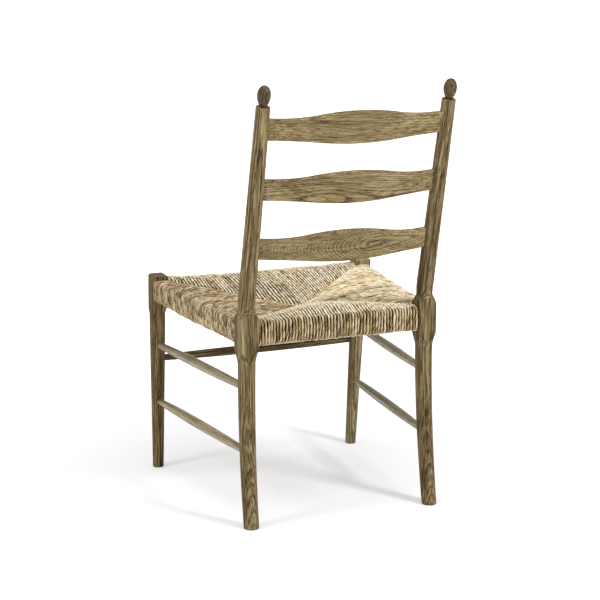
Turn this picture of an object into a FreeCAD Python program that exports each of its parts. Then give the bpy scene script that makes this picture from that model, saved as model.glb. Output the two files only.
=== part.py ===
# Ladder-back dining chair: turned oak posts with finials, three bowed slats, turned stretchers
# and a woven rush seat wrapped round four hidden rails. Nothing on the chair moves.
#
# Frame: +Z up, the chair faces -Y, the sitter's left is +X, and the origin is on the floor
# under the middle of the chair's bounding box. All sizes are in millimetres and degrees.
import FreeCAD, Part
import math
import os
import re
import Sketcher
from FreeCAD import Placement, Rotation, Vector

SIZES = {
    # rear posts: a swept-back turned leg, an upright square block, a turned post that leans back
    "rear_axis_x": 220.5,
    "rear_axis_y": 191.9,
    "rear_foot_splay": 3.5,
    "rear_foot_sweep": 33.0,
    "rear_sweep_top": 354.0,
    "rear_foot_dia": 34.8,
    "rear_neck_dia": 40.2,
    "rear_block": 42.2,
    "rear_block_bottom": 376.0,
    "rear_block_top": 497.0,
    "rear_top_shoulder": 20.0,
    "rear_low_shoulder": 32.0,
    "post_lean": 13.23,
    "post_lean_start": 511.0,
    "post_waist_dia": 37.6,
    "post_bend": 20.0,
    "post_bottom_dia": 39.6,
    "post_top_dia": 31.6,
    "post_top": 955.0,
    "post_top_bevel": 1.6,
    # front legs: straight and raked forward to the foot, turned below a square block
    "front_axis_x": 271.6,
    "front_axis_y": -270.9,
    "front_foot_x": 264.8,
    "front_foot_y": -305.5,
    "front_foot_dia": 26.8,
    "front_knee_dia": 35.2,
    "front_neck_dia": 39.4,
    "front_block": 39.4,
    "front_block_bottom": 402.0,
    "front_block_top": 498.0,
    "front_block_round": 11.0,
    "front_shoulder": 22.0,
    "front_top_bevel": 3.0,
    "foot_edge": 1.5,
    # finials
    "finial_dia": 30.0,
    "finial_neck_dia": 15.5,
    "finial_neck": 2.0,
    "finial_cup": 22.5,
    "finial_crown": 21.8,
    "finial_pin_dia": 9.0,
    "finial_pin": 24.0,
    # slats
    "slat_thickness": 11.5,
    "slat_half_span": 202.0,
    "slat_half_length": 215.0,
    "slat_edge": 3.0,
    "slat_end_height": 48.3,
    "top_slat_centre": 904.3,
    "top_slat_crest": 17.1,
    "top_slat_drop": 8.8,
    "top_slat_bow": 20.7,
    "middle_slat_centre": 771.1,
    "middle_slat_crest": 17.0,
    "middle_slat_drop": 8.7,
    "middle_slat_bow": 23.0,
    "bottom_slat_centre": 636.0,
    "bottom_slat_crest": 18.9,
    "bottom_slat_drop": 7.2,
    "bottom_slat_bow": 24.9,
    "slat_curve_half": 186.0,
    # stretchers
    "stretcher_end_dia": 14.8,
    "stretcher_middle_dia": 22.6,
    "upper_side_front": 320.2,
    "upper_side_rear": 317.0,
    "lower_side_front": 174.2,
    "lower_side_rear": 170.4,
    "front_stretcher_height": 284.2,
    "stretcher_end_gap": 4.0,
    # seat rails, and the rush round them
    "rail_thickness": 20.0,
    "rail_height": 47.0,
    "rail_edge": 4.0,
    "tenon_thickness": 12.0,
    "tenon_height": 32.0,
    "tenon_depth": 12.0,
    "front_rail_centre": 455.5,
    "rear_rail_centre": 441.8,
    "rush_cord": 7.0,
    "rush_rear_gap": 1.6,
    "rush_front_gap": 4.6,
    "rush_outer_round": 17.0,
    "rush_crown_rise": 6.0,
    "rush_crown_inset": 25.0,
    "rush_shoulder_inset": 120.0,
    "rush_shoulder_dish": 12.0,
    "rush_top_dish": 39.0,
    "rush_under_rise": 6.0,
    "rush_middle": 8.0,
}

LEFT_RIGHT = (("left", 1), ("right", -1))

doc = FreeCAD.newDocument("ladder_back_chair")
sheet = doc.addObject("Spreadsheet::Sheet", "sizes")
for row, (alias, number) in enumerate(SIZES.items(), start=1):
    sheet.set("A%d" % row, alias.replace("_", " "))
    sheet.set("B%d" % row, str(number))
    sheet.setAlias("B%d" % row, alias)
doc.recompute()


def on_sheet(formula):
    """The formula with each of the sheet's names written in full."""
    return re.sub(r"[a-z_]+", lambda word: in_full(word.group()), formula)


def in_full(word):
    return "sizes." + word if word in SIZES else word


def worked_out(formula):
    """What the formula comes to, as a plain number."""
    answer = sheet.evalExpression(on_sheet(formula))
    return float(getattr(answer, "Value", answer))


def bind(thing, field, formula):
    thing.setExpression(field, on_sheet(formula))


def new_body(label, at=(), turned=None):
    """A body whose place is bound to the sheet, if it is given; turned is an axis and the formula
    of an angle."""
    body = doc.addObject("PartDesign::Body", label)
    body.Label = label
    if turned:
        body.Placement = Placement(Vector(), Rotation(turned[0], 1.0))
        bind(body, "Placement.Rotation.Angle", turned[1])
    for axis, formula in zip("xyz", at):
        bind(body, "Placement.Base." + axis, formula)
    return body


def new_sketch(body, name, plane, offset=("0", "0", "0"), turn=None):
    """A sketch on one of the body's own origin planes, moved and turned in that plane's frame."""
    sketch = body.newObject("Sketcher::SketchObject", name)
    sketch.AttachmentSupport = [(part, "") for part in body.Origin.OriginFeatures if part.Role == plane]
    sketch.MapMode = "FlatFace"
    if turn:
        sketch.AttachmentOffset = Placement(Vector(), Rotation(Vector(0, 0, 1), 1.0))
        bind(sketch, "AttachmentOffset.Rotation.Angle", turn)
    for axis, formula in zip("xyz", offset):
        bind(sketch, "AttachmentOffset.Base." + axis, formula)
    return sketch


def pin_point(sketch, edge, end, across, up):
    """Hold one end of an edge at two bound distances from the sketch's origin."""
    for kind, level, formula in (("DistanceX", "Vertical", across), ("DistanceY", "Horizontal", up)):
        if formula == "0":
            sketch.addConstraint(Sketcher.Constraint(level, -1, 1, edge, end))
        else:
            pinned = Sketcher.Constraint(kind, -1, 1, edge, end, worked_out(formula))
            bind(sketch, "Constraints[%d]" % sketch.addConstraint(pinned), formula)


def outline(sketch, corners):
    """A closed outline. A corner is (across, up), or (across, up, radius, side) when an arc leads
    from it to the next one, bulging to the left (1) or to the right (-1) of the way there."""
    spots = [Vector(worked_out(corner[0]), worked_out(corner[1]), 0) for corner in corners]
    ends = []
    for number, corner in enumerate(corners):
        here, there = spots[number], spots[(number + 1) % len(spots)]
        if len(corner) == 2:
            edge = sketch.addGeometry(Part.LineSegment(here, there))
            ends.append((edge, 1, 2))
            continue
        radius, side = worked_out(corner[2]), corner[3]
        half = (there - here) * 0.5
        leftward = Vector(-half.y, half.x, 0).normalize()
        centre = here + half - leftward * side * math.sqrt(radius ** 2 - half.Length ** 2)
        first, last = (here, there) if side < 0 else (there, here)
        start = math.atan2(first.y - centre.y, first.x - centre.x)
        stop = math.atan2(last.y - centre.y, last.x - centre.x)
        circle = Part.Circle(centre, Vector(0, 0, 1), radius)
        edge = sketch.addGeometry(Part.ArcOfCircle(circle, start, stop))
        round_rule = sketch.addConstraint(Sketcher.Constraint("Radius", edge, radius))
        bind(sketch, "Constraints[%d]" % round_rule, corner[2])
        ends.append((edge, 1, 2) if side < 0 else (edge, 2, 1))
    for number, corner in enumerate(corners):
        edge, start, stop = ends[number]
        following = ends[(number + 1) % len(ends)]
        sketch.addConstraint(Sketcher.Constraint("Coincident", edge, stop, following[0], following[1]))
        pin_point(sketch, edge, start, corner[0], corner[1])


def rectangle(sketch, wide, high):
    outline(sketch, [("-(%s) / 2" % wide, "-(%s) / 2" % high), ("(%s) / 2" % wide, "-(%s) / 2" % high),
                     ("(%s) / 2" % wide, "(%s) / 2" % high), ("-(%s) / 2" % wide, "(%s) / 2" % high)])


def disc(body, name, across, along, height, diameter):
    """A level circle at a height, for a loft."""
    sketch = new_sketch(body, name, "XY_Plane", (across, along, height))
    edge = sketch.addGeometry(Part.Circle(Vector(), Vector(0, 0, 1), worked_out(diameter) / 2))
    sketch.addConstraint(Sketcher.Constraint("Coincident", edge, 3, -1, 1))
    rule = sketch.addConstraint(Sketcher.Constraint("Diameter", edge, worked_out(diameter)))
    bind(sketch, "Constraints[%d]" % rule, diameter)
    return sketch


def add_pad(body, sketch, length, midplane=False, slant=None):
    """A pad of the sketch. slant is two formulas: how far it leans along X and Y per unit of height."""
    pad = body.newObject("PartDesign::Pad", body.Label + "_pad")
    pad.Profile = sketch
    pad.Midplane = midplane
    bind(pad, "Length", length)
    if slant:
        pad.UseCustomVector = True
        pad.Direction = Vector(worked_out(slant[0]), worked_out(slant[1]), 1)
    doc.recompute()
    return pad


def add_loft(body, kind, sketches, ruled=False):
    loft = body.newObject("PartDesign::" + kind, body.Label + "_loft")
    loft.Profile = sketches[0]
    loft.Sections = sketches[1:]
    loft.Ruled = ruled
    doc.recompute()
    return loft


def add_turning(body, kind, sketch):
    """A turned shape, or a turned cut, about the sketch's own upright axis."""
    turning = body.newObject("PartDesign::" + kind, body.Label + "_turning")
    turning.Profile = sketch
    turning.ReferenceAxis = (sketch, ["V_Axis"])
    turning.Angle = 360.0
    doc.recompute()
    return turning


def add_pocket_through(body, sketch):
    pocket = body.newObject("PartDesign::Pocket", body.Label + "_pocket")
    pocket.Profile = sketch
    pocket.Type = "ThroughAll"
    pocket.Midplane = True
    doc.recompute()
    return pocket


def dress(body, kind, size_field, size, chosen):
    """A fillet or chamfer on the tip's edges that the chosen test picks by their middle point."""
    tip = body.Tip
    names = []
    for number, edge in enumerate(tip.Shape.Edges, start=1):
        middle = edge.valueAt((edge.FirstParameter + edge.LastParameter) / 2)
        if chosen(middle, edge):
            names.append("Edge%d" % number)
    dressing = body.newObject("PartDesign::" + kind, body.Label + "_" + kind.lower())
    dressing.Base = (tip, names)
    bind(dressing, size_field, size)
    doc.recompute()
    return dressing


def shoulder_profile(sketch, end, turned_dia, block, reach, into):
    """The waste outside a turned shoulder at one end of a block; into is +1 up, -1 down. The
    shoulder is nearly a cone, so it ends each of the block's faces in an arch."""
    corner = "%s * 0.7072" % block
    level = "%s + (%d) * %s" % (end, into, reach)
    past = "%s - (%d) * 2" % (end, into)
    wide = "%s * 0.8" % block
    outline(sketch, [("%s / 2" % turned_dia, end, "%s * 3.5" % reach, into), (corner, level),
                     (wide, level), (wide, past), ("%s / 2" % turned_dia, past)])


# --- posts and legs ---------------------------------------------------------------------------

def rear_post_blank(name, side):
    """A rear post before its mortises are cut. Local axis: the block's upright middle line."""
    body = new_body(name, ("%d * rear_axis_x" % side, "rear_axis_y", "0"))
    stations = [step / 4 for step in range(5)]
    discs = []
    for station in stations:
        height = "%.2f * rear_sweep_top" % station
        lean = "%.4f" % ((1 - station) ** 2)
        splay = "%d * rear_foot_splay * %.2f" % (side, 1 - station)
        width = "rear_foot_dia + (rear_neck_dia - rear_foot_dia) * (%s) / rear_block_bottom" % height
        discs.append(disc(body, "leg_at_%d" % (station * 4), splay, "rear_foot_sweep * " + lean,
                          height, width))
    add_loft(body, "AdditiveLoft", discs)
    neck = disc(body, "leg_neck", "0", "0", "rear_sweep_top", "rear_neck_dia - (rear_neck_dia - "
                "rear_foot_dia) * (rear_block_bottom - rear_sweep_top) / rear_block_bottom")
    head = disc(body, "leg_head", "0", "0", "rear_block_bottom + 4", "rear_neck_dia")
    add_loft(body, "AdditiveLoft", [neck, head])
    square = new_sketch(body, "block_square", "XY_Plane", ("0", "0", "rear_block_bottom"))
    rectangle(square, "rear_block", "rear_block")
    add_pad(body, square, "rear_block_top - rear_block_bottom")
    shoulders = new_sketch(body, "block_shoulders", "XZ_Plane")
    shoulder_profile(shoulders, "rear_block_bottom", "rear_neck_dia", "rear_block",
                     "rear_low_shoulder", 1)
    shoulder_profile(shoulders, "rear_block_top", "post_waist_dia", "rear_block",
                     "rear_top_shoulder", -1)
    add_turning(body, "Groove", shoulders)
    bend = []
    for station in (-0.7, 0.0, 0.35, 0.7, 1.0, 1.2):
        height = "rear_block_top + (%.2f) * post_bend" % station
        back = "%.4f * post_bend * tan(post_lean * 1 deg)" % (max(0.0, station) ** 2 / 1.44 * 0.5)
        width = "post_waist_dia + (post_bottom_dia - post_waist_dia) * %.4f" % max(0.0, station / 1.2)
        bend.append(disc(body, "bend_at_%d" % (station * 100 + 70), "0", back, height, width))
    add_loft(body, "AdditiveLoft", bend)
    half = new_sketch(body, "post_profile", "YZ_Plane", ("0", "post_lean_start", "0"), "-post_lean")
    top = "(post_top - post_lean_start) / cos(post_lean * 1 deg)"
    outline(half, [("0", "-4"), ("post_bottom_dia / 2 - 4", "-4"), ("post_bottom_dia / 2", "post_bend * 0.7"),
                   ("post_top_dia / 2", top + " - post_top_bevel"),
                   ("post_top_dia / 2 - post_top_bevel", top), ("0", top)])
    add_turning(body, "Revolution", half)
    dress(body, "Chamfer", "Size", "foot_edge",
          lambda middle, edge: abs(middle.z) < 0.01 and len(edge.Vertexes) == 1)
    return body


RAKE_X = "(front_axis_x - front_foot_x) / front_rail_centre"
RAKE_Y = "(front_axis_y - front_foot_y) / front_rail_centre"


def front_leg_blank(name, side):
    """A front leg before its mortises are cut: turned and then square, about one raked line.
    Local origin: the middle of the foot."""
    body = new_body(name, ("%d * front_foot_x" % side, "front_foot_y", "0"))
    discs = []
    for station, width in ((0.0, "front_foot_dia"),
                           (0.32, "front_foot_dia + (front_knee_dia - front_foot_dia) * 0.48"),
                           (0.64, "front_knee_dia"), (0.96, "front_neck_dia - 0.4"),
                           (1.02, "front_neck_dia")):
        height = "%.2f * front_block_bottom" % station
        discs.append(disc(body, "leg_at_%d" % (station * 100), "%d * %s * %s" % (side, height, RAKE_X),
                          "%s * %s" % (height, RAKE_Y), height, width))
    add_loft(body, "AdditiveLoft", discs)
    square = new_sketch(body, "block_square", "XY_Plane",
                        ("%d * front_block_bottom * %s" % (side, RAKE_X),
                         "front_block_bottom * " + RAKE_Y, "front_block_bottom"))
    rectangle(square, "front_block", "front_block")
    add_pad(body, square, "front_block_top - front_block_bottom",
            slant=("%d * %s" % (side, RAKE_X), RAKE_Y))
    # the block's outer front corner is rounded
    half_way = "(front_block_bottom + front_block_top) / 2"
    middle_x = worked_out("%s * %s" % (half_way, RAKE_X))
    middle_y = worked_out("%s * %s" % (half_way, RAKE_Y))
    level = worked_out(half_way)
    dress(body, "Fillet", "Radius", "front_block_round",
          lambda middle, edge: (abs(middle.z - level) < 0.01 and side * middle.x > middle_x
                                and middle.y < middle_y and len(edge.Vertexes) == 2))
    shoulders = new_sketch(body, "block_shoulders", "YZ_Plane",
                           ("0", "0", "%d * front_block_bottom * %s" % (side, RAKE_X)),
                           "-atan(%s)" % RAKE_Y)
    shoulder_profile(shoulders, "front_block_bottom", "front_neck_dia", "front_block",
                     "front_shoulder", 1)
    add_turning(body, "Groove", shoulders)
    top = worked_out("front_block_top")
    dress(body, "Chamfer", "Size", "front_top_bevel",
          lambda middle, edge: abs(middle.z - top) < 0.01)
    dress(body, "Chamfer", "Size", "foot_edge",
          lambda middle, edge: abs(middle.z) < 0.01 and len(edge.Vertexes) == 1)
    return body


def rear_axis_at(side, height):
    """Where the middle line of a rear leg is, at a height below the block."""
    rise = height / SIZES["rear_sweep_top"]
    splay = SIZES["rear_foot_splay"] * max(0.0, 1 - rise)
    sweep = SIZES["rear_foot_sweep"] * max(0.0, 1 - rise) ** 2
    return Vector(side * (SIZES["rear_axis_x"] + splay), SIZES["rear_axis_y"] + sweep, height)


def front_axis_at(side, height):
    """Where the middle line of a front leg is, at a height."""
    across = SIZES["front_foot_x"] + height * worked_out(RAKE_X)
    along = SIZES["front_foot_y"] + height * worked_out(RAKE_Y)
    return Vector(side * across, along, height)


# --- back -------------------------------------------------------------------------------------

def finial(name, side):
    """An egg-shaped finial on a short neck, with a pin that is glued into the post."""
    rise = "(post_top - post_lean_start)"
    body = new_body(name, ("%d * rear_axis_x" % side,
                           "rear_axis_y + %s * tan(post_lean * 1 deg)" % rise, "post_top"),
                    (Vector(1, 0, 0), "-post_lean"))
    half = new_sketch(body, "profile", "XZ_Plane")
    belt = "finial_neck + finial_cup"
    inward = "(finial_dia - finial_neck_dia) / 2"
    cup_radius = "(({0}) ^ 2 + finial_cup ^ 2) / (2 * ({0}))".format(inward)
    # the crown is a wide arc that runs smoothly into a round cap centred on the axis
    cap_angle = "(90 deg - 2 * atan((finial_dia - finial_crown) / (finial_dia / 2)))"
    cap_radius = "(finial_dia - finial_dia / 2 / cos(%s))" % cap_angle
    cap_up = "{0} + finial_dia / 2 * tan({1}) + {2} * sin({1})".format(belt, cap_angle, cap_radius)
    outline(half, [("0", "-finial_pin"), ("finial_pin_dia / 2", "-finial_pin"),
                   ("finial_pin_dia / 2", "0"), ("finial_neck_dia / 2", "0"),
                   ("finial_neck_dia / 2", "finial_neck", cup_radius, -1),
                   ("finial_dia / 2", belt, "finial_dia", -1),
                   ("%s * cos(%s)" % (cap_radius, cap_angle), cap_up, cap_radius, -1),
                   ("0", belt + " + finial_crown")])
    add_turning(body, "Revolution", half)
    return body


def slat(name):
    """A bowed slat with a crest along its top edge and a drop along its bottom edge."""
    centre = name + "_centre"
    body = new_body(name, ("0", "rear_axis_y + (%s - post_lean_start) * tan(post_lean * 1 deg)" % centre,
                           centre), (Vector(1, 0, 0), "-post_lean"))
    bow_radius = "(slat_half_span ^ 2 + {0}_bow ^ 2) / (2 * {0}_bow)".format(name)
    # how far the ends of the tenons lie in front of the line through the shoulders
    back = "({0} - sqrt(({0}) ^ 2 - slat_half_length ^ 2) - {1}_bow)".format(bow_radius, name)
    front_face, rear_face = "-slat_thickness / 2 - " + back, "slat_thickness / 2 - " + back
    plan = new_sketch(body, "plan", "XY_Plane")
    outline(plan, [("-slat_half_length", front_face, bow_radius, 1), ("slat_half_length", front_face),
                   ("slat_half_length", rear_face, bow_radius, -1), ("-slat_half_length", rear_face)])
    add_pad(body, plan, "slat_end_height + 2 * ({0}_crest + {0}_drop)".format(name), True)
    waste = new_sketch(body, "waste", "XZ_Plane")
    for up, bump in ((1, name + "_crest"), (-1, name + "_drop")):
        level = "%d * slat_end_height / 2" % up
        middle = "%d * (slat_end_height + %s) / 2" % (up, bump)
        beyond = "%d * (slat_end_height / 2 + 2 * (%s_crest + %s_drop))" % (up, name, name)
        radius = "(slat_curve_half ^ 2 + {0} ^ 2) / (4 * {0})".format(bump)
        outline(waste, [("-slat_half_length - 5", level), ("-slat_curve_half", level, radius, -up),
                        ("-slat_curve_half / 2", middle, radius, up),
                        ("slat_curve_half / 2", middle, radius, -up),
                        ("slat_curve_half", level), ("slat_half_length + 5", level),
                        ("slat_half_length + 5", beyond), ("-slat_half_length - 5", beyond)])
    add_pocket_through(body, waste)
    span = worked_out("slat_half_length")
    dress(body, "Fillet", "Radius", "slat_edge",
          lambda middle, edge: abs(middle.x) < span - 0.5 and edge.Length > 20)
    return body


# --- stretchers and rails -----------------------------------------------------------------------

def stretcher(name, start, stop):
    """A turned stretcher, thin at its ends, whose ends stop short of the legs' middle lines."""
    body = new_body(name)
    run = stop - start
    direction = Vector(run).normalize()
    base = start + direction * SIZES["stretcher_end_gap"]
    body.Placement = Placement(base, Rotation(Vector(0, 0, 1), direction))
    length = "%.3f - 2 * stretcher_end_gap" % run.Length
    swell = "(stretcher_middle_dia - stretcher_end_dia) / 2"
    radius = "((({0}) / 2) ^ 2 + ({1}) ^ 2) / (2 * ({1}))".format(length, swell)
    half = new_sketch(body, "profile", "XZ_Plane")
    outline(half, [("0", "0"), ("stretcher_end_dia / 2", "0", radius, -1),
                   ("stretcher_end_dia / 2", length), ("0", length)])
    add_turning(body, "Revolution", half)
    return body


def rail(name, start, stop, clear):
    """A seat rail with a tenon at each end; clear is the distance between the rail's shoulders
    and the middle lines of the blocks that it joins, at its start and at its stop."""
    body = new_body(name)
    run = stop - start
    direction = Vector(run).normalize()
    level = Vector(0, 0, 1).cross(direction).normalize()
    up = direction.cross(level)
    turned = Rotation(level, up, direction, "ZXY")
    middle = (start + direction * clear[0] + stop - direction * clear[1]) * 0.5
    body.Placement = Placement(middle, turned)
    length = "%.3f" % (run.Length - clear[0] - clear[1])
    bar = new_sketch(body, "section", "XY_Plane")
    rectangle(bar, "rail_thickness", "rail_height")
    add_pad(body, bar, length, True)
    dress(body, "Fillet", "Radius", "rail_edge",
          lambda middle, edge: edge.Length > 100)
    tenon = new_sketch(body, "tenon", "XY_Plane")
    rectangle(tenon, "tenon_thickness", "tenon_height")
    add_pad(body, tenon, length + " + 2 * tenon_depth", True)
    return body


# --- seat ---------------------------------------------------------------------------------------

SEAT_TILT = "atan((front_rail_centre - rear_rail_centre) / (rear_axis_y - front_axis_y))"
SEAT_PLACE = ("0", "(rear_axis_y + front_axis_y) / 2", "(front_rail_centre + rear_rail_centre) / 2")
FRONT_LINE = "(front_axis_y - rear_axis_y) / 2"
REAR_LINE = "(rear_axis_y - front_axis_y) / 2"
SPLAY = "((front_axis_x - rear_axis_x) / (rear_axis_y - front_axis_y))"


def side_line(along, inset):
    """Half the seat's width at a place along it, inset from the side rail's middle line."""
    return ("((front_axis_x + rear_axis_x) / 2 - ({0}) * {1} - ({2}) * sqrt(1 + {1} ^ 2))"
            .format(along, SPLAY, inset))


def seat_outline(sketch, inset):
    """The seat's plan, inset from the rails' middle lines and notched round the four blocks."""
    front = "%s + (%s)" % (FRONT_LINE, inset)
    rear = "%s - (%s)" % (REAR_LINE, inset)
    notch_front = FRONT_LINE + " + front_block / 2 + rush_front_gap"
    notch_rear = REAR_LINE + " - rear_block / 2 - rush_rear_gap"
    notch_front_x = "(front_axis_x - front_block / 2 - rush_rear_gap)"
    notch_rear_x = "(rear_axis_x - rear_block / 2 - rush_rear_gap)"
    half = [(notch_front_x, front), (notch_front_x, notch_front),
            (side_line(notch_front, inset), notch_front), (side_line(notch_rear, inset), notch_rear),
            (notch_rear_x, notch_rear), (notch_rear_x, rear)]
    outline(sketch, half + [("-" + across, along) for across, along in reversed(half)])


def seat_trapezium(sketch, inset):
    """The seat's plan without notches, inset from the rails' middle lines."""
    front = "%s + (%s)" % (FRONT_LINE, inset)
    rear = "%s - (%s)" % (REAR_LINE, inset)
    outline(sketch, [(side_line(front, inset), front), (side_line(rear, inset), rear),
                     ("-" + side_line(rear, inset), rear), ("-" + side_line(front, inset), front)])


def hollow(body, level, shoulder_depth, depth):
    """Sink a four-sided dish, gently and then more steeply, into the top or the underside."""
    mouth = new_sketch(body, "dish_mouth", "XY_Plane", ("0", "0", level))
    seat_trapezium(mouth, "rush_crown_inset")
    shoulder = new_sketch(body, "dish_shoulder", "XY_Plane",
                          ("0", "0", "%s - (%s)" % (level, shoulder_depth)))
    seat_trapezium(shoulder, "rush_shoulder_inset")
    floor = new_sketch(body, "dish_floor", "XY_Plane", ("0", "0", "%s - (%s)" % (level, depth)))
    rectangle(floor, "2 * rush_middle", "2 * rush_middle")
    add_loft(body, "SubtractiveLoft", [mouth, shoulder, floor], True)


def seat_body(name, inset, skin):
    """A slab of the seat's plan, dished on top and hollowed a little underneath; skin is how far
    it reaches over and under the rails. It is crowned, so it stands a little higher on top."""
    bottom = "-(rail_height / 2 + %s)" % skin
    top = "(rail_height / 2 + rush_crown_rise + %s)" % skin
    body = new_body(name, SEAT_PLACE, (Vector(1, 0, 0), "-" + SEAT_TILT))
    plan = new_sketch(body, "plan", "XY_Plane", ("0", "0", bottom))
    seat_outline(plan, inset)
    add_pad(body, plan, "%s - %s" % (top, bottom))
    if skin != "0":
        dress(body, "Fillet", "Radius", "rush_outer_round", lambda middle, edge: edge.Length > 300)
    hollow(body, top, "rush_shoulder_dish", "rush_top_dish")
    hollow(body, bottom, "-rush_under_rise / 3", "-rush_under_rise")
    return body


# --- putting the chair together -------------------------------------------------------------------

def mortised(name, blank, guests):
    """The blank with a mortise for each guest piece that is let into it."""
    tools = doc.addObject("Part::Compound", name + "_guests")
    tools.Links = guests
    cut = doc.addObject("Part::Cut", name)
    cut.Label = name
    cut.Base = blank
    cut.Tool = tools
    doc.recompute()
    return cut


slats = [slat(name) for name in ("top_slat", "middle_slat", "bottom_slat")]
pieces = {body.Label: body for body in slats}

front_block_clear = SIZES["front_block"] / 2
rear_block_clear = SIZES["rear_block"] / 2
front_corner = Vector(SIZES["front_axis_x"], SIZES["front_axis_y"], SIZES["front_rail_centre"])
rear_corner = Vector(SIZES["rear_axis_x"], SIZES["rear_axis_y"], SIZES["rear_rail_centre"])


def mirrored(spot):
    return Vector(-spot.x, spot.y, spot.z)


pieces["seat_rail_front"] = rail("seat_rail_front", front_corner, mirrored(front_corner),
                                 (front_block_clear, front_block_clear))
pieces["seat_rail_rear"] = rail("seat_rail_rear", rear_corner, mirrored(rear_corner),
                                (rear_block_clear, rear_block_clear))
pieces["front_stretcher"] = stretcher(
    "front_stretcher", front_axis_at(1, SIZES["front_stretcher_height"]),
    front_axis_at(-1, SIZES["front_stretcher_height"]))

for hand, sign in LEFT_RIGHT:
    front_end = front_corner if sign > 0 else mirrored(front_corner)
    rear_end = rear_corner if sign > 0 else mirrored(rear_corner)
    # the side rails run askew, so their square shoulders keep clear of the blocks by a little
    askew = SIZES["rail_thickness"] / 2 * (front_end - rear_end).normalize().x * sign + 0.5
    side_rail = rail("seat_rail_" + hand, front_end, rear_end,
                     (front_block_clear + askew, rear_block_clear + askew))
    upper = stretcher("upper_side_stretcher_" + hand, front_axis_at(sign, SIZES["upper_side_front"]),
                      rear_axis_at(sign, SIZES["upper_side_rear"]))
    lower = stretcher("lower_side_stretcher_" + hand, front_axis_at(sign, SIZES["lower_side_front"]),
                      rear_axis_at(sign, SIZES["lower_side_rear"]))
    knob = finial("finial_" + hand, sign)
    for piece in (side_rail, upper, lower, knob):
        pieces[piece.Label] = piece
    pieces["rear_post_" + hand] = mortised(
        "rear_post_" + hand, rear_post_blank("rear_blank_" + hand, sign),
        slats + [side_rail, pieces["seat_rail_rear"], upper, lower, knob])
    pieces["front_leg_" + hand] = mortised(
        "front_leg_" + hand, front_leg_blank("front_blank_" + hand, sign),
        [side_rail, pieces["seat_rail_front"], upper, lower, pieces["front_stretcher"]])

stuffing = seat_body("seat_stuffing", "rail_thickness / 2", "0")
wrap = seat_body("rush_wrap", "-(rail_thickness / 2 + rush_cord)", "rush_cord")
pieces["seat_stuffing"] = stuffing
rails = [pieces["seat_rail_" + place] for place in ("front", "rear", "left", "right")]
pieces["rush_seat"] = mortised("rush_seat", wrap, rails + [stuffing])

doc.recompute()
for thing in doc.Objects:
    if "Invalid" in thing.State or "Error" in thing.State:
        raise RuntimeError("%s did not build" % thing.Label)
os.makedirs("parts", exist_ok=True)
for name, piece in pieces.items():
    if piece.Shape.isNull() or not piece.Shape.isValid():
        raise RuntimeError("%s has no valid shape" % name)
    piece.Shape.exportStep("parts/%s.step" % name)
    print(name, len(piece.Shape.Solids), "solid", round(piece.Shape.Volume / 1000, 1), "cm3")
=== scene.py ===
# Ladder-back dining chair with a rush seat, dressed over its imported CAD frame.
# Everything is in metres in the CAD's frame: +Z up, the chair faces -Y, the sitter's left is +X.
import math

import bpy
import numpy as np
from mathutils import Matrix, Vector


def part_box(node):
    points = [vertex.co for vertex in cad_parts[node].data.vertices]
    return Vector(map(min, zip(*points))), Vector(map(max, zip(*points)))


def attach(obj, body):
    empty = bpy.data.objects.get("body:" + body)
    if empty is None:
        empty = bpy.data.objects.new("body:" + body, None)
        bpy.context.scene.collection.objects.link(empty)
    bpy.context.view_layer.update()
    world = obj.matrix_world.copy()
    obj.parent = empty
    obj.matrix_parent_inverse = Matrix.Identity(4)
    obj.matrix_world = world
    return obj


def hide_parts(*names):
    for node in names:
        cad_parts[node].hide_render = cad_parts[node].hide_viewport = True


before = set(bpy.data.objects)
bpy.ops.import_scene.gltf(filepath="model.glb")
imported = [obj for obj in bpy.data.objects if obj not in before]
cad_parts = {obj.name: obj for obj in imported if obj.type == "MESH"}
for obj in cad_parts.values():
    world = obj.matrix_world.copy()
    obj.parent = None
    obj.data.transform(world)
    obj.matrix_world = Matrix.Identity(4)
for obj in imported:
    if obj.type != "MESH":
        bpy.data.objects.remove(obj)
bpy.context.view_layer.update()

SEED = 11

# --- the seat's measures ------------------------------------------------------------------------
# the widths of the legs' square blocks, and how far the front and rear rails go into them
FRONT_BLOCK = 0.0394
REAR_BLOCK = 0.0422
TENON = 0.012
# the room between the last cord of a rail and the block beside it
BLOCK_GAP = 0.0012
FRONT_BLOCK_GAP = 0.0038
# a rail with the cords round it: its height, and how far it reaches outwards from its middle line
ROLL_HEIGHT = 0.061
ROLL_HALF_WIDTH = 0.0170
CORD = 0.0074
# where the four seams meet, and how deep they lie there under the rails' tops
CENTRE_Y = -0.020
SEAM_DEPTH = 0.033
# the side rolls are shallower underneath and bulge outwards where they meet the front legs,
# and the front roll stands a little proud at its ends
SIDE_END_RISE = 0.0045
SIDE_END_BULGE = 0.0036
FRONT_END_RISE = 0.0050
# the cords of the side rolls slant across the roll's outer face
SIDE_SLANT = 0.16


def seat_lines():
    """Where the rails and the blocks are: the numbers that the whole weave hangs from."""
    front_lo, front_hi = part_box("seat_rail_front")
    rear_lo, rear_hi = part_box("seat_rail_rear")
    lines = {
        "front_y": (front_lo.y + front_hi.y) / 2,
        "rear_y": (rear_lo.y + rear_hi.y) / 2,
        "front_z": (front_lo.z + front_hi.z) / 2,
        "rear_z": (rear_lo.z + rear_hi.z) / 2,
        "front_x": front_hi.x + FRONT_BLOCK / 2 - TENON,
        "rear_x": rear_hi.x + REAR_BLOCK / 2 - TENON,
    }
    lines["front_in_y"] = lines["front_y"] + FRONT_BLOCK / 2
    lines["rear_in_y"] = lines["rear_y"] - REAR_BLOCK / 2
    lines["front_in_x"] = lines["front_x"] - FRONT_BLOCK / 2
    lines["rear_in_x"] = lines["rear_x"] - REAR_BLOCK / 2
    return lines


LINES = seat_lines()


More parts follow.
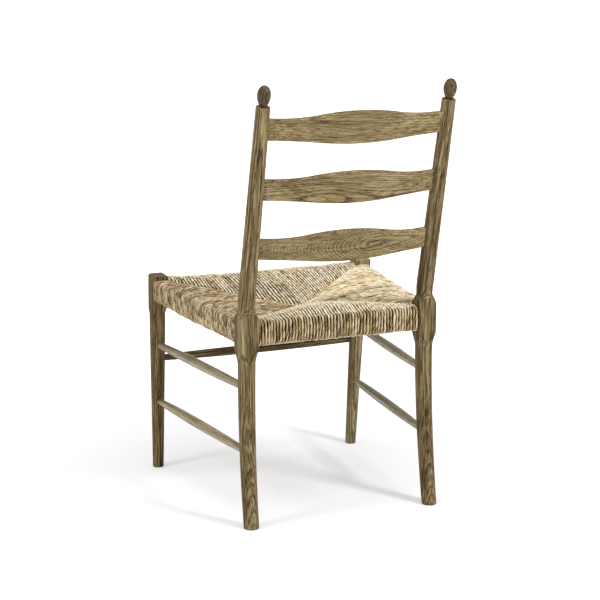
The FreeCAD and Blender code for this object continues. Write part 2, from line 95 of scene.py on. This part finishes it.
def plane_z(y):
    """The height of the rails' middle lines at y."""
    share = (y - LINES["front_y"]) / (LINES["rear_y"] - LINES["front_y"])
    return LINES["front_z"] + share * (LINES["rear_z"] - LINES["front_z"])


def rail_x(y):
    """How far the side rails' middle lines are from the chair's middle plane at y."""
    share = (y - LINES["front_y"]) / (LINES["rear_y"] - LINES["front_y"])
    return LINES["front_x"] + share * (LINES["rear_x"] - LINES["front_x"])


def far_back(y):
    """How far y is along a side rail, 0 at its front end and 1 at its rear end."""
    return (y - LINES["front_in_y"]) / (LINES["rear_in_y"] - LINES["front_in_y"])


def seam_drop(t):
    """How far the seam lies under the rails' tops, t of the way from its corner to the middle."""
    return SEAM_DEPTH * (1 - (1 - t) ** 1.2)


# --- small tools --------------------------------------------------------------------------------

def smooth_step(value):
    """0 below 0, 1 above 1, and a smooth rise between them."""
    value = np.clip(value, 0.0, 1.0)
    return value * value * (3 - 2 * value)


def rounded(points, rounds=3):
    """The polyline with its corners cut, which turns it into a smooth run with the same ends."""
    for _ in range(rounds):
        near = points[:-1] * 0.75 + points[1:] * 0.25
        far = points[:-1] * 0.25 + points[1:] * 0.75
        middle = np.stack([near, far], axis=1).reshape(-1, points.shape[1])
        points = np.concatenate([points[:1], middle[1:-1], points[-1:]])
    return points


def evenly(points, step):
    """The same polyline with its points step apart, and how far along it each of them is."""
    lengths = np.linalg.norm(np.diff(points, axis=0), axis=1)
    reach = np.concatenate([[0.0], np.cumsum(lengths)])
    count = max(6, int(round(reach[-1] / step)) + 1)
    stations = np.linspace(0, reach[-1], count)
    return np.stack([np.interp(stations, reach, points[:, k]) for k in range(3)], axis=1), stations


def ripple(rng, waves, shortest, longest):
    """A smooth random field over two coordinates, about -1 to 1."""
    angles = rng.uniform(0, 2 * math.pi, waves)
    lengths = rng.uniform(shortest, longest, waves)
    phases = rng.uniform(0, 2 * math.pi, waves)
    kx, ky = np.cos(angles) * 2 * math.pi / lengths, np.sin(angles) * 2 * math.pi / lengths

    def field(x, y):
        x, y = np.asarray(x, float), np.asarray(y, float)
        total = np.zeros(np.broadcast(x, y).shape)
        for a, b, c in zip(kx, ky, phases):
            total = total + np.sin(a * x + b * y + c)
        return total / math.sqrt(waves)
    return field


def mesh_object(name, vertices, quads, attributes=None):
    """A smooth mesh of four-sided faces, with any vector attributes that a material reads."""
    mesh = bpy.data.meshes.new(name)
    mesh.vertices.add(len(vertices))
    mesh.vertices.foreach_set("co", np.asarray(vertices, np.float32).ravel())
    mesh.loops.add(len(quads) * 4)
    mesh.loops.foreach_set("vertex_index", np.asarray(quads, np.int32).ravel())
    mesh.polygons.add(len(quads))
    mesh.polygons.foreach_set("loop_start", np.arange(len(quads), dtype=np.int32) * 4)
    mesh.update(calc_edges=True)
    mesh.validate()
    mesh.polygons.foreach_set("use_smooth", np.ones(len(mesh.polygons), bool))
    for label, values in (attributes or {}).items():
        layer = mesh.attributes.new(label, "FLOAT_VECTOR", "POINT")
        layer.data.foreach_set("vector", np.asarray(values, np.float32).ravel())
    thing = bpy.data.objects.new(name, mesh)
    bpy.context.scene.collection.objects.link(thing)
    return thing


# --- rush ---------------------------------------------------------------------------------------

# how many points go round a cord, and how far its rings are apart
RING = 12
STEP = 0.0034


class Panel:
    """One of the seat's four triangles of cord, with what makes it look as it does.
    crown gives how high the cords rise inside the rail, tone is how light they are, wide is half
    a cord's width in pitches, lobes is how deep the twist's grooves are, wander is how far the
    cords stray sideways, and shade is how much painted shade darkens the roll's outer face."""

    def __init__(self, name, side, count, crown, tone, seed, wide, lobes, wander=0.0011, shade=0.0):
        self.name, self.side, self.count, self.crown, self.shade = name, side, count, crown, shade
        self.tone, self.wide, self.lobes, self.wander = tone, wide, lobes, wander
        self.rng = np.random.default_rng(SEED * 100 + seed)

    def places(self):
        """Where each cord lies along its rail, and how far its seam is from the corner, 0 to 1."""
        if self.side in ("front", "rear"):
            reach = LINES[self.side + "_in_x"] - BLOCK_GAP
            edges = np.linspace(-reach, reach, self.count + 1)
            middle = (edges[:-1] + edges[1:]) / 2
            return middle, 1 - np.abs(middle) / LINES[self.side + "_in_x"]
        edges = np.linspace(LINES["front_in_y"] + FRONT_BLOCK_GAP, LINES["rear_in_y"] - BLOCK_GAP,
                            self.count + 1)
        middle = (edges[:-1] + edges[1:]) / 2
        from_front = (middle - LINES["front_in_y"]) / (CENTRE_Y - LINES["front_in_y"])
        from_rear = (LINES["rear_in_y"] - middle) / (LINES["rear_in_y"] - CENTRE_Y)
        return middle, np.minimum(from_front, from_rear)

    def length(self, place, t):
        """How far it is from the rail's middle line to the seam."""
        if self.side == "front":
            return LINES["front_in_y"] - LINES["front_y"] + t * (CENTRE_Y - LINES["front_in_y"])
        if self.side == "rear":
            return LINES["rear_y"] - LINES["rear_in_y"] + t * (LINES["rear_in_y"] - CENTRE_Y)
        inner = LINES["front_in_x"] if place < CENTRE_Y else LINES["rear_in_x"]
        return rail_x(place) - inner * (1 - t)

    def point(self, place, inward, height):
        """From the panel's own coordinates to the frame; height is from the rails' middle plane."""
        if self.side == "front":
            x, y = place, LINES["front_y"] + inward
        elif self.side == "rear":
            x, y = place, LINES["rear_y"] - inward
        elif self.side == "left":
            x, y = rail_x(place) - inward, place
        else:
            x, y = -rail_x(place) + inward, place
        return [x, y, plane_z(y) + height]

    def run(self, place, t):
        """One cord's way: up from the seam underneath, round the rail, and down into the seam."""
        length = self.length(place, t)
        crown = self.crown(place, t)
        top, low = ROLL_HEIGHT / 2 - CORD / 2, -ROLL_HEIGHT / 2 + CORD / 2
        out = -ROLL_HALF_WIDTH + CORD / 2
        if self.side == "front":
            top += FRONT_END_RISE * (1 - t) ** 5
        elif self.side != "rear":
            low += SIDE_END_RISE * float(smooth_step(1 - far_back(place) / 0.35))
            out -= SIDE_END_BULGE * float(smooth_step(1 - far_back(place) / 0.4))
        drop = seam_drop(t)
        way = [(length + 0.004, low + 0.016 + drop * 0.15), (length, low + 0.004 + drop * 0.12)]
        for share in (0.85, 0.6, 0.35):
            if length * share > 0.03:
                way.append((length * share, low + drop * 0.15 * share))
        # round the rail: underneath, up its outer face, and over its top
        way += [(0.012, low - 0.0005), (-0.004, low), (out + 0.0006, low + 0.007), (out, low + 0.018),
                (out, 0.003), (out, 0.0135), (out + 0.0001, 0.0212), (out + 0.0030, top - 0.0012),
                (-0.001, top)]
        if length > 0.05:
            way += [(0.010, top + crown * 0.30), (0.024, top + crown * 0.75)]
            inner = np.linspace(0.040, length - 0.004, max(3, int(length / 0.018)))
        else:
            inner = np.linspace(0.008, length - 0.004, 3)
        for inward in inner:
            u = (inward - 0.006) / max(length - 0.006, 1e-4)
            hump = crown * min(1.0, inward / 0.040) * (1 - u ** 2.2)
            way.append((inward, top + hump - drop * u ** 1.6))
        way += [(length + 0.0005, top - drop - 0.0045), (length + 0.005, top - drop - 0.0150)]
        return np.array([self.point(place, inward, height) for inward, height in way])

    def outward(self, place, path):
        """How far each point of a cord is outside its rail's middle line."""
        if self.side in ("left", "right"):
            return np.abs(path[:, 0]) - rail_x(place)
        line = LINES[self.side + "_y"]
        return np.abs(path[:, 1] - line) * np.sign(np.abs(path[:, 1]) - abs(line))

    def build(self):
        """The panel's mesh. The strand attribute runs round and along each cord, and tone holds the
        cord's own lightness, how much painted shade the point takes in the creases between cords,
        and the panel's lightness, with painted shade on the roll's outer face."""
        rng = self.rng
        drift, sway = ripple(rng, 7, 0.05, 0.16), ripple(rng, 7, 0.025, 0.06)
        lift = ripple(rng, 9, 0.03, 0.09)
        across = np.array((1.0, 0.0, 0.0) if self.side in ("front", "rear") else (0.0, 1.0, 0.0))
        vertices, quads, strand, tone = [], [], [], []
        base = 0
        angles = np.arange(RING) / RING * 2 * math.pi
        places, seams = self.places()
        pitch = abs(places[1] - places[0])
        for place, t in zip(places, seams):
            path, reach = evenly(rounded(self.run(place, t)), STEP)
            count = len(path)
            heart = path[:, 0] if self.side in ("left", "right") else path[:, 1]
            heart = heart + path[:, 2] * 0.8
            stray = rng.uniform(-1, 1)
            offset = self.wander * (drift(place, heart) + 0.35 * sway(place, heart))
            offset = offset + 0.0004 * np.sin(reach / rng.uniform(0.02, 0.05) + rng.uniform(0, 6.3)) * stray
            tangent = np.gradient(path, axis=0)
            tangent /= np.linalg.norm(tangent, axis=1)[:, None]
            side = across[None, :] - tangent * (tangent @ across)[:, None]
            side /= np.linalg.norm(side, axis=1)[:, None]
            up = np.cross(side, tangent)
            if self.side in ("front", "left"):
                up = -up
            if up[count * 3 // 4, 2] < 0:
                up = -up
            outward = self.outward(place, path)
            if self.side in ("left", "right"):
                outer = smooth_step((0.010 - np.abs(outward - 0.008)) / 0.010)
                fall = np.clip(plane_z(place) + ROLL_HEIGHT / 2 - path[:, 2], 0, ROLL_HEIGHT)
                slant = SIDE_SLANT * max(0.0, math.sin(math.pi * far_back(place))) ** 0.5
                offset = offset + slant * fall * np.where(path[:, 2] > plane_z(place) - 0.02, outer, 1.0)
            raised = 0.0007 * lift(place, heart) + 0.0003 * stray
            path = path + side * offset[:, None] + up * raised[:, None]
            turn = rng.uniform(0, 2 * math.pi)
            twist_length = rng.uniform(0.030, 0.045)
            twist = turn + reach / twist_length * 2 * math.pi * 0.5 + 0.5 * np.sin(reach / 0.037 + turn)
            swell = 1 + 0.06 * np.sin(reach / rng.uniform(0.008, 0.014) + turn) + 0.05 * stray
            swell = swell + rng.normal(0, 0.015, count)
            around = angles[None, :]
            lobes = 1 + self.lobes * np.cos(3 * (around - twist[:, None]))
            lobes = lobes + 0.035 * np.cos(5 * (around + 1.7 * twist[:, None]) + stray * 3)
            # the cords lie closer together low on the roll's outer face
            face = smooth_step((self.outward(place, path) - 0.002) / 0.009)
            level = plane_z(place if self.side in ("left", "right") else LINES[self.side + "_y"])
            packed = face * smooth_step((level + 0.012 - path[:, 2]) / 0.030)
            wide = pitch * (self.wide + 0.045 * packed)[:, None] * swell[:, None] * lobes
            high = CORD * 0.5 * swell[:, None] * lobes
            ring = (path[:, None, :] + side[:, None, :] * (wide * np.cos(around))[..., None]
                    + up[:, None, :] * (high * np.sin(around))[..., None])
            vertices.append(ring.reshape(-1, 3))
            spin = around - twist[:, None]
            along = np.repeat(reach[:, None], RING, 1) / 0.03 + stray * 37
            strand.append(np.stack([np.cos(spin), np.sin(spin), along], -1).reshape(-1, 3))
            # painted shade: each cord darkens round its sides and underside, where it meets its neighbours
            # and the rail
            crease_shade = np.clip(1.08 - np.sin(around), 0, 1.05) ** 1.6 + 0 * reach[:, None]
            light = np.full_like(crease_shade, 0.5 + 0.5 * rng.uniform(-1, 1))
            # painted shade: the panel's lightness drops on the roll's outer face
            panel = self.tone - self.shade * face[:, None] + 0 * crease_shade
            tone.append(np.stack([light, crease_shade, panel], -1).reshape(-1, 3))
            rows = np.arange(count - 1)[:, None] * RING
            columns = np.arange(RING)[None, :]
            following = (columns + 1) % RING
            faces = np.stack([rows + columns, rows + following, rows + RING + following,
                              rows + RING + columns], -1).reshape(-1, 4) + base
            quads.append(faces)
            base += count * RING
        return mesh_object(self.name, np.concatenate(vertices), np.concatenate(quads),
                           {"strand": np.concatenate(strand), "tone": np.concatenate(tone)})


def front_crown(place, t):
    return 0.006 * math.sqrt(max(t, 0.0))


def rear_crown(place, t):
    return 0.0135 * float(smooth_step(t * 1.25))


def right_crown(place, t):
    far = far_back(place)
    return 0.0125 * float(smooth_step(far / 0.22)) * max(0.0, 1 - far) ** 0.8


def left_crown(place, t):
    return right_crown(place, t) * 0.45


PANELS = [
    Panel("rush_front_panel", "front", 68, front_crown, 0.88, 1, wide=0.320, lobes=0.15),
    Panel("rush_rear_panel", "rear", 54, rear_crown, 1.20, 2, wide=0.360, lobes=0.17, shade=0.98),
    Panel("rush_left_panel", "left", 57, left_crown, 0.27, 3, wide=0.325, lobes=0.16, wander=0.0017),
    Panel("rush_right_panel", "right", 57, right_crown, 0.68, 4, wide=0.425, lobes=0.12, wander=0.0020),
]


def stuffing():
    """The straw between the two layers, a little inside the cords all over: an upper and a lower
    grid of count by count points, and the rim that joins them."""
    count = 49
    vertices, quads = [], []
    share = np.linspace(0, 1, count)
    inset = 0.012
    for layer in (1, -1):
        for v in share:
            y = LINES["front_y"] + inset + v * (LINES["rear_y"] - LINES["front_y"] - 2 * inset)
            half = rail_x(y) - inset
            for u in share:
                x = half * (2 * u - 1)
                if y < CENTRE_Y:
                    across = (y - LINES["front_y"]) / (CENTRE_Y - LINES["front_y"])
                else:
                    across = (LINES["rear_y"] - y) / (LINES["rear_y"] - CENTRE_Y)
                t = min(across, 1 - abs(x) / half)
                height = layer * (ROLL_HEIGHT / 2 - CORD - 0.0015)
                if layer > 0:
                    height -= float(seam_drop(max(0.0, t))) * 0.92 + 0.002
                else:
                    height += 0.010 * t
                vertices.append((x, y, plane_z(y) + height))
    size = count * count
    for v in range(count - 1):
        for u in range(count - 1):
            corner = v * count + u
            quads.append((corner, corner + 1, corner + count + 1, corner + count))
            under = size + corner
            quads.append((under, under + count, under + count + 1, under + 1))
    rim = ([(u, 0) for u in range(count)] + [(count - 1, v) for v in range(1, count)]
           + [(u, count - 1) for u in range(count - 2, -1, -1)] + [(0, v) for v in range(count - 2, 0, -1)])
    spots = [v * count + u for u, v in rim]
    for here, there in zip(spots, spots[1:] + spots[:1]):
        quads.append((here, size + here, size + there, there))
    return mesh_object("straw_stuffing", vertices, quads)


# --- materials ----------------------------------------------------------------------------------

def srgb(red, green, blue):
    """A linear colour from the 0 to 255 numbers of a colour picker."""
    parts = [channel / 255 for channel in (red, green, blue)]
    linear = [part / 12.92 if part <= 0.04045 else ((part + 0.055) / 1.055) ** 2.4 for part in parts]
    return (*linear, 1.0)


class Graph:
    """A material's node tree, written as calls that return sockets."""

    def __init__(self, name):
        self.material = bpy.data.materials.new(name)
        self.material.use_nodes = True
        self.tree = self.material.node_tree
        self.tree.nodes.clear()

    def add(self, kind, sockets=None, **settings):
        node = self.tree.nodes.new(kind)
        for key, value in settings.items():
            setattr(node, key, value)
        for key, value in (sockets or {}).items():
            if isinstance(value, bpy.types.NodeSocket):
                self.tree.links.new(value, node.inputs[key])
            else:
                node.inputs[key].default_value = value
        return node

    def math(self, operation, first, second=0.0, clamp=False):
        return self.add("ShaderNodeMath", {0: first, 1: second}, operation=operation,
                        use_clamp=clamp).outputs[0]

    def noise(self, vector, scale, detail=2.0, roughness=0.5, distortion=0.0):
        return self.add("ShaderNodeTexNoise", {"Vector": vector, "Scale": scale, "Detail": detail,
                        "Roughness": roughness, "Distortion": distortion}).outputs["Fac"]

    def remap(self, value, low, high, to_low=0.0, to_high=1.0):
        return self.add("ShaderNodeMapRange", {0: value, 1: low, 2: high, 3: to_low, 4: to_high}).outputs[0]

    def mix(self, factor, first, second, blend="MIX"):
        node = self.add("ShaderNodeMix", {0: factor, 6: first, 7: second}, data_type="RGBA",
                        blend_type=blend)
        return node.outputs[2]

    def ramp(self, value, stops):
        node = self.add("ShaderNodeValToRGB", {0: value})
        ramp = node.color_ramp
        while len(ramp.elements) < len(stops):
            ramp.elements.new(0.5)
        for element, (place, colour) in zip(ramp.elements, stops):
            element.position, element.color = place, colour
        return node.outputs[0]

    def finish(self, shader):
        output = self.add("ShaderNodeOutputMaterial")
        self.tree.links.new(shader, output.inputs["Surface"])
        return self.material


# weathered oak, from its palest streaks to its pores
OAK_LIGHT = srgb(157, 142, 107)
OAK_MID = srgb(121, 105, 73)
OAK_DARK = srgb(71, 57, 36)
OAK_PORE = srgb(24, 16, 8)
# how far the posts go back for each metre up, and the height at which they start to
LEAN = math.tan(math.radians(13.23))
LEAN_START = 0.490


def post_line(graph, position):
    """A rear post's own coordinates: its lean is taken out, so that the grain follows it."""
    x, y, z = graph.add("ShaderNodeSeparateXYZ", {0: position}).outputs
    above = graph.math("MAXIMUM", graph.math("SUBTRACT", z, LEAN_START), 0.0)
    y = graph.math("SUBTRACT", y, graph.math("MULTIPLY", above, LEAN))
    return graph.add("ShaderNodeCombineXYZ", {0: x, 1: y, 2: z}).outputs[0]


def scaled(graph, vector, across, along):
    """The vector stretched for a noise that is finer across the grain than along it."""
    return graph.add("ShaderNodeVectorMath", {0: vector, 1: (across, across, along)},
                     operation="MULTIPLY").outputs[0]


def oak(name, axis, pith, seed, ring=0.0050, lean=False, shade=0.0, gloss=0.0, wander=0.010, lines=0.85,
        sweep=(0.0, 0.0), shaken=0.0016, figure=1.0, fine=1.0, stain=None):
    """Weathered oak. axis is the grain's direction and pith is a point on the middle of the tree.
    shade darkens it, or lightens it below 0, as the oak's own tone and on some pieces as painted
    shade or painted light; wander is how far the rings stray, and lines is how dark they are.
    sweep is from where along the grain, and how fast, the rings turn out through the surface.
    shaken is how ragged the rings are, figure is how strong the streaks are, and fine how narrow.
    stain is the colour of what has soaked into the whole piece."""
    graph = Graph(name)
    position = graph.add("ShaderNodeTexCoord").outputs["Object"]
    if lean:
        position = post_line(graph, position)
    position = graph.add("ShaderNodeVectorMath", {0: position, 1: pith}, operation="SUBTRACT").outputs[0]
    turn = Vector(axis).rotation_difference(Vector((0, 0, 1))).to_euler()
    grain = graph.add("ShaderNodeVectorRotate", {"Vector": position, "Rotation": tuple(turn)},
                      rotation_type="EULER_XYZ").outputs[0]
    shifted = graph.add("ShaderNodeVectorMath", {0: grain, 1: (seed * 0.37, seed * 0.61, seed * 0.83)},
                        operation="ADD").outputs[0]
    flat = graph.add("ShaderNodeSeparateXYZ", {0: grain})
    radius = graph.math("SQRT", graph.math("ADD", graph.math("POWER", flat.outputs[0], 2.0),
                                           graph.math("POWER", flat.outputs[1], 2.0)))
    # the rings stray slowly over the piece, and shake a little, which draws the figure
    slow = graph.noise(scaled(graph, shifted, 11.0, 3.2), 1.0, 1.0)
    shake = graph.noise(scaled(graph, shifted, 230.0, 42.0), 1.0, 2.0)
    radius = graph.math("ADD", radius, graph.math("MULTIPLY", slow, wander))
    radius = graph.math("ADD", radius, graph.math("MULTIPLY", shake, shaken))
    if sweep[1]:
        along = graph.math("SUBTRACT", flat.outputs[2], sweep[0])
        behind = graph.math("MAXIMUM", graph.math("MULTIPLY", along, -1.0), 0.0)
        away = graph.math("ADD", graph.math("MAXIMUM", along, 0.0), graph.math("MULTIPLY", behind, 0.6))
        radius = graph.math("ADD", radius, graph.math("MULTIPLY", graph.math("POWER", away, 1.5), sweep[1]))
    turns = graph.math("DIVIDE", radius, ring)
    part = graph.math("FRACT", turns)
    year = graph.add("ShaderNodeTexWhiteNoise", {"W": graph.math("FLOOR", turns)},
                     noise_dimensions="1D").outputs["Value"]
    fade = graph.add("ShaderNodeMapRange", {0: part, 1: 0.15, 2: 0.58, 3: 1.0, 4: 0.0},
                     interpolation_type="SMOOTHSTEP").outputs[0]
    rise = graph.remap(part, 0.0, 0.08)
    line = graph.math("MULTIPLY", graph.math("MULTIPLY", fade, rise), graph.remap(year, 0.0, 1.0, 0.55, 1.0))
    dash = graph.remap(graph.noise(scaled(graph, shifted, 820.0, 62.0), 1.0, 2.0, 0.6), 0.40, 0.60)
    line = graph.math("MULTIPLY", line, graph.math("ADD", graph.math("MULTIPLY", dash, 0.65), 0.35))
    pore = graph.remap(graph.noise(scaled(graph, shifted, 400.0 * fine, 30.0), 1.0, 3.0, 0.7), 0.53, 0.63)
    streak = graph.noise(scaled(graph, shifted, 220.0 * fine, 9.0), 1.0, 4.0, 0.75)
    broad = graph.noise(scaled(graph, shifted, 46.0, 4.0), 1.0, 2.0)
    value = graph.math("MULTIPLY", streak, 1.1 * figure)
    value = graph.math("ADD", value, graph.math("MULTIPLY", broad, 0.5))
    value = graph.math("SUBTRACT", value, 0.55 * figure - 0.30 + shade)
    colour = graph.ramp(value, [(0.28, OAK_DARK), (0.50, OAK_MID), (0.76, OAK_LIGHT)])
    colour = graph.mix(graph.math("MULTIPLY", pore, 0.85), colour, OAK_DARK)
    colour = graph.mix(graph.math("MULTIPLY", line, lines, clamp=True), colour, OAK_PORE)
    if stain:
        colour = graph.mix(1.0, colour, stain, "MULTIPLY")
    depth = graph.math("ADD", line, graph.math("MULTIPLY", pore, 0.6))
    height = graph.math("SUBTRACT", graph.math("MULTIPLY", streak, 0.5), depth)
    bump = graph.add("ShaderNodeBump", {"Height": height, "Strength": 0.6, "Distance": 0.0005}).outputs[0]
    rough = graph.remap(streak, 0.3, 0.7, 0.60 - gloss, 0.46 - gloss)
    shader = graph.add("ShaderNodeBsdfPrincipled", {
        "Base Color": colour, "Roughness": rough, "Normal": bump, "Specular IOR Level": 0.03 + 2.4 * gloss})
    return graph.finish(shader.outputs[0])


def rush_material():
    """Twisted rush: pale and tan leaves along each cord, painted shade in the creases between cords, golden
    and grey patches.
    """
    graph = Graph("rush_cord")
    strand = graph.add("ShaderNodeAttribute", attribute_name="strand").outputs["Vector"]
    tone = graph.add("ShaderNodeAttribute", attribute_name="tone").outputs["Vector"]
    light, crease_shade, panel = graph.add("ShaderNodeSeparateXYZ", {0: tone}).outputs
    leaf = graph.noise(scaled(graph, strand, 1.5, 0.32), 1.0, 2.0, 0.5)
    fibre = graph.noise(scaled(graph, strand, 2.6, 0.60), 1.0, 3.0, 0.7)
    speck = graph.noise(scaled(graph, strand, 2.4, 3.0), 1.0, 2.0, 0.6)
    value = graph.math("ADD", graph.math("MULTIPLY", leaf, 1.00), graph.math("MULTIPLY", fibre, 1.60))
    value = graph.math("ADD", value, graph.math("MULTIPLY", light, 0.20))
    value = graph.math("ADD", value, graph.math("MULTIPLY", graph.math("SUBTRACT", panel, 0.5), 0.30))
    value = graph.math("SUBTRACT", value, 0.90)
    colour = graph.ramp(value, [(0.24, srgb(86, 58, 26)), (0.38, srgb(150, 121, 74)),
                                (0.54, srgb(206, 189, 150)), (0.80, srgb(240, 231, 210))])
    # patches of the seat are more golden, and between them the rush is greyer
    patch = graph.noise(graph.add("ShaderNodeTexCoord").outputs["Object"], 13.0, 2.0, 0.5)
    colour = graph.mix(graph.remap(patch, 0.42, 0.60, 0.0, 0.30), colour, (1.0, 0.88, 0.66, 1.0), "MULTIPLY")
    grey = graph.math("MULTIPLY", graph.remap(speck, 0.52, 0.64), graph.remap(patch, 0.60, 0.40, 0.30, 1.0))
    grey = graph.math("MULTIPLY", grey, graph.remap(panel, 0.3, 1.0, 0.95, 0.40))
    colour = graph.mix(grey, colour, srgb(92, 86, 78))
    # painted shade: dark brown mixed in where the cords turn into the creases between them
    dark = graph.math("MULTIPLY", crease_shade, 0.93)
    colour = graph.mix(dark, colour, srgb(48, 30, 12))
    height = graph.math("ADD", fibre, graph.math("MULTIPLY", speck, 0.4))
    bump = graph.add("ShaderNodeBump", {"Height": height, "Strength": 0.7, "Distance": 0.0008}).outputs[0]
    shader = graph.add("ShaderNodeBsdfPrincipled", {
        "Base Color": colour, "Roughness": 0.62, "Normal": bump, "Specular IOR Level": 0.2})
    return graph.finish(shader.outputs[0])


def painted_shade_straw_material():
    """The straw, coloured dark as painted shade, since it shows only in the shaded gaps between the cords.
    """
    graph = Graph("straw")
    position = graph.add("ShaderNodeTexCoord").outputs["Object"]
    stalk = graph.noise(position, 160.0, 4.0, 0.7, 1.5)
    # painted shade: dark browns for straw that is seen only in shadow
    colour = graph.ramp(stalk, [(0.35, srgb(52, 38, 24)), (0.7, srgb(120, 96, 62))])
    bump = graph.add("ShaderNodeBump", {"Height": stalk, "Strength": 0.8, "Distance": 0.002}).outputs[0]
    shader = graph.add("ShaderNodeBsdfPrincipled", {"Base Color": colour, "Roughness": 0.8, "Normal": bump})
    return graph.finish(shader.outputs[0])


def dress(node, material):
    """Put the material on a CAD node, in its only slot."""
    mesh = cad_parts[node].data
    mesh.materials.clear()
    mesh.materials.append(material)


def dress_wood():
    """Each wooden node's own oak, with its grain along the piece."""
    for number, hand in enumerate(("left", "right")):
        side = 1 if hand == "left" else -1
        post_x, leg_x = LINES["rear_x"] * side, LINES["front_x"] * side
        dress("rear_post_" + hand, oak("oak_rear_post_" + hand, (0, 0, 1), (post_x - 0.006, 0.150, 0.0),
                                       3 + number, ring=0.0036, lean=True, shade=0.07 + 0.04 * number,
                                       wander=0.024, lines=1.0, figure=1.7, fine=1.5))
        # the right front leg is made paler than the left: painted light
        dress("front_leg_" + hand, oak("oak_front_leg_" + hand, (0.015, 0.076, 1),
                                       (leg_x + 0.012, -0.345, 0.0), 7 + number, ring=0.0036,
                                       shade=0.12 - 0.20 * number, lines=1.0, figure=1.6, fine=1.4))
        dress("finial_" + hand, oak("oak_finial_" + hand, (0, 0.23, 1), (post_x + 0.008, 0.285, 0.95),
                                    11 + number, ring=0.0036, shade=-0.04, gloss=0.10, lines=1.0, figure=2.6,
                                    stain=(0.31, 0.26, 0.14, 1.0)))
        for level in ("upper", "lower"):
            name = "%s_side_stretcher_%s" % (level, hand)
            # the side stretchers are paler: partly the wood's own greyer weathering, partly painted
            # highlight for their satin sheen
            dress(name, oak("oak_" + name, (0.1 * side, -1, 0), (post_x + 0.03, 0, 0.26), 13 + number * 2
                            + len(level), ring=0.0045, shade=-0.10, gloss=0.24, lines=0.6, figure=1.3))
    dress("front_stretcher", oak("oak_front_stretcher", (1, 0, 0), (0, -0.30, 0.25), 21, shade=0.20))
    dress("top_slat", oak("oak_top_slat", (1, 0, 0.03), (0, 0.30, 1.08), 31, ring=0.0060, lines=0.6,
                          wander=0.012, shade=0.02, figure=1.2, fine=1.4))
    middle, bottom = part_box("middle_slat")[1].y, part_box("bottom_slat")[1].y
    dress("middle_slat", oak("oak_middle_slat", (1, 0, 0.04), (0, middle - 0.055, 0.750), 34, ring=0.0036,
                             lines=0.95, wander=0.007, sweep=(0.05, 0.42), shaken=0.0010, shade=0.0))
    dress("bottom_slat", oak("oak_bottom_slat", (1, 0, -0.02), (0, bottom - 0.035, 0.640), 38, ring=0.0040,
                             lines=1.0, wander=0.008, sweep=(-0.050, 1.10), shaken=0.0014,
                             figure=0.8, shade=-0.03))
    # the rails show only in the gaps between the cords, and shade=0.5 darkens them there as painted shade
    for name in ("front", "rear", "left", "right"):
        dress("seat_rail_" + name, oak("oak_rail_" + name, (1, 0, 0), (0, 0, 0.4), 41, shade=0.5))


# --- the room -------------------------------------------------------------------------------------

def look_at(thing, target):
    direction = Vector(target) - thing.location
    thing.rotation_euler = direction.to_track_quat("-Z", "Y").to_euler()


# the camera stands behind the chair, at its left; the floor reaches as far as it can see
CAMERA_PLACE = (1.64022, 3.81626, 1.34031)
CAMERA_TARGET = (-0.01571, -0.05555, 0.44994)
FLOOR_HALF = 190.0
LIGHTS_TARGET = (0, 0, 0.4)


def camera():
    data = bpy.data.cameras.new("camera")
    data.sensor_width = 36.0
    data.lens = 108.03
    data.clip_end = 500.0
    thing = bpy.data.objects.new("camera", data)
    bpy.context.scene.collection.objects.link(thing)
    data.shift_x = -0.00075
    data.shift_y = 0.0005
    thing.location = CAMERA_PLACE
    look_at(thing, CAMERA_TARGET)
    bpy.context.scene.camera = thing


def area_light(name, location, target, size, power):
    data = bpy.data.lights.new(name, "AREA")
    data.shape = "DISK"
    data.size = size
    data.energy = power
    thing = bpy.data.objects.new(name, data)
    bpy.context.scene.collection.objects.link(thing)
    thing.location = location
    look_at(thing, target)
    thing.visible_camera = False


def floor_material():
    """Pale and matt, with a painted glow: faint round the chair, where it lightens the shadows, and brighter
    further out, so that it ends in plain white.
    """
    graph = Graph("floor")
    position = graph.add("ShaderNodeTexCoord").outputs["Object"]
    reach = graph.add("ShaderNodeVectorMath", {0: position}, operation="LENGTH").outputs["Value"]
    glow = graph.add("ShaderNodeMapRange", {0: reach, 1: 0.5, 2: 2.2, 3: 0.31, 4: 1.1},
                     interpolation_type="SMOOTHSTEP").outputs[0]
    shader = graph.add("ShaderNodeBsdfPrincipled", {
        "Base Color": (0.60, 0.60, 0.61, 1), "Roughness": 0.9, "Specular IOR Level": 0.1,
        "Emission Color": (1, 1, 1, 1), "Emission Strength": glow})
    return graph.finish(shader.outputs[0])


def room():
    mesh = bpy.data.meshes.new("floor")
    half = FLOOR_HALF
    corners = [(-half, -half, 0), (half, -half, 0), (half, half, 0), (-half, half, 0)]
    mesh.from_pydata(corners, [], [(0, 1, 2, 3)])
    floor = bpy.data.objects.new("floor", mesh)
    bpy.context.scene.collection.objects.link(floor)
    mesh.materials.append(floor_material())
    world = bpy.data.worlds.new("studio")
    bpy.context.scene.world = world
    world.use_nodes = True
    background = world.node_tree.nodes["Background"]
    background.inputs["Color"].default_value = (1, 1, 1, 1)
    background.inputs["Strength"].default_value = 0.50
    area_light("right_key", (-1.75, 3.0, 3.0), LIGHTS_TARGET, 0.9, 120)
    area_light("left_key", (3.2, 0.6, 2.6), LIGHTS_TARGET, 1.1, 50)
    area_light("overhead", (0.2, 0.2, 4.0), LIGHTS_TARGET, 4.0, 92)
    bpy.context.scene.view_settings.view_transform = "Standard"


# --- putting it together --------------------------------------------------------------------------

camera()
room()
dress_wood()
rush = rush_material()
for panel in PANELS:
    piece = panel.build()
    piece.data.materials.append(rush)
    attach(piece, "root")
    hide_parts("rush_seat")
straw = stuffing()
straw.data.materials.append(painted_shade_straw_material())
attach(straw, "root")
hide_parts("seat_stuffing")
